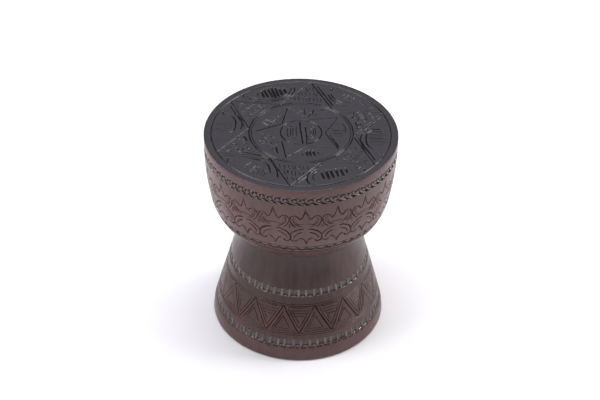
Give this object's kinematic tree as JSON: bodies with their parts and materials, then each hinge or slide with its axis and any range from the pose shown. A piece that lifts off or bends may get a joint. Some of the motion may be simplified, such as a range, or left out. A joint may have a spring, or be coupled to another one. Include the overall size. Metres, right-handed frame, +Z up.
{
  "type": "drum side table",
  "caption": "Round carved drum table: a bowl-shaped drum with a flat carved top on a waisted, flared base that is hollow and open below.",
  "frame": {"origin": "on the floor, on the turning axis, at the middle of the foot", "axes": "+Z up along the turning axis, front towards -Y, +X to the right as seen from the front"},
  "size_m": [0.386, 0.386, 0.45],
  "materials": {
    "ebonised_mahogany": "black stain under satin lacquer, carved",
    "carved_mahogany": "dark red-brown stain under satin lacquer, turned and carved",
    "plain_hardwood": "sanded, unfinished",
    "zinc_screws": "zinc plated",
    "felt": "pressed wool felt"
  },
  "bodies": {
    "root": {"top_board_1": "ebonised_mahogany", "top_board_2": "ebonised_mahogany", "top_board_3": "ebonised_mahogany", "top_board_4": "ebonised_mahogany", "top_board_5": "ebonised_mahogany", "bowl_stave_01": "carved_mahogany", "bowl_stave_02": "carved_mahogany", "bowl_stave_03": "carved_mahogany", "bowl_stave_04": "carved_mahogany", "bowl_stave_05": "carved_mahogany", "bowl_stave_06": "carved_mahogany", "bowl_stave_07": "carved_mahogany", "bowl_stave_08": "carved_mahogany", "bowl_stave_09": "carved_mahogany", "bowl_stave_10": "carved_mahogany", "bowl_stave_11": "carved_mahogany", "bowl_stave_12": "carved_mahogany", "base_stave_01": "carved_mahogany", "base_stave_02": "carved_mahogany", "base_stave_03": "carved_mahogany", "base_stave_04": "carved_mahogany", "base_stave_05": "carved_mahogany", "base_stave_06": "carved_mahogany", "base_stave_07": "carved_mahogany", "base_stave_08": "carved_mahogany", "base_stave_09": "carved_mahogany", "base_stave_10": "carved_mahogany", "base_stave_11": "carved_mahogany", "base_stave_12": "carved_mahogany", "bowl_bottom_board_1": "carved_mahogany", "bowl_bottom_board_2": "carved_mahogany", "bowl_bottom_board_3": "carved_mahogany", "top_batten_left": "plain_hardwood", "top_batten_right": "plain_hardwood", "glue_block_1": "plain_hardwood", "glue_block_2": "plain_hardwood", "glue_block_3": "plain_hardwood", "glue_block_4": "plain_hardwood", "glue_block_5": "plain_hardwood", "glue_block_6": "plain_hardwood", "neck_plug": "plain_hardwood", "centre_dowel": "plain_hardwood", "batten_screws": "zinc_screws", "glue_block_screws": "zinc_screws", "neck_screws": "zinc_screws", "felt_pads": "felt"}
  },
  "joints": []
}
